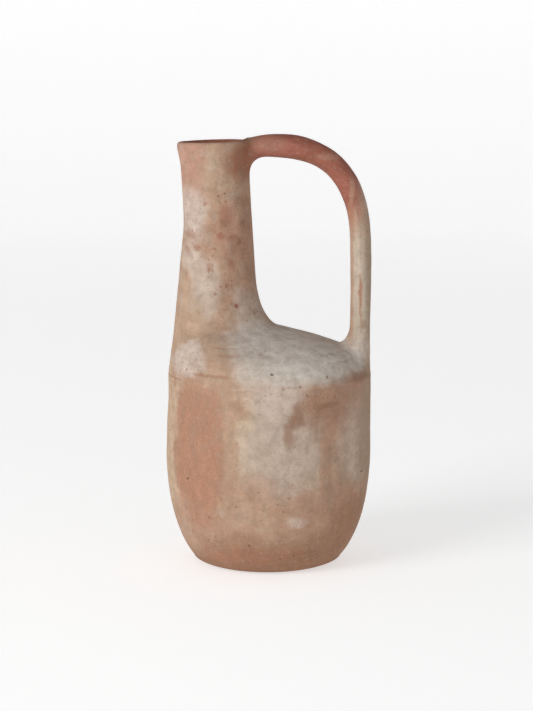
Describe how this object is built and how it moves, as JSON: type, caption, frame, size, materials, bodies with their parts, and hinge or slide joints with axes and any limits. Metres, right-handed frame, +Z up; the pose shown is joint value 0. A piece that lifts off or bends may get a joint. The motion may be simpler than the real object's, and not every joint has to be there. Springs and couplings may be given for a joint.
{
  "type": "ceramic pitcher",
  "caption": "Tall hand-built ceramic pitcher with a round body, an off-centre neck and a looped strap handle.",
  "frame": {"origin": "centre of the foot's flat underside, on the axis of the round body", "axes": "+Z up, +X from the neck towards the handle, +Y away from the side view that shows the handle on the right"},
  "size_m": [0.1704, 0.1696, 0.3559],
  "materials": {
    "floor_clay": "unglazed terracotta, matte, rubbed smooth",
    "body_clay": "unglazed terracotta, matte, with a thin chalky bloom in patches",
    "shoulder_clay": "unglazed terracotta, matte, mostly under a chalky white-grey bloom",
    "neck_clay": "unglazed terracotta, matte, buff, with rust-coloured speckles",
    "rim_clay": "unglazed red clay, matte, burnished by handling",
    "handle_clay": "unglazed red clay, matte, fading to a chalky bloom down the leg"
  },
  "bodies": {
    "root": {"floor_slab": "floor_clay", "floor_coil": "floor_clay", "body_wall": "body_clay", "shoulder": "shoulder_clay", "neck": "neck_clay", "rim": "rim_clay", "handle": "handle_clay", "handle_upper_wad": "handle_clay", "handle_lower_wad": "shoulder_clay"}
  },
  "joints": []
}
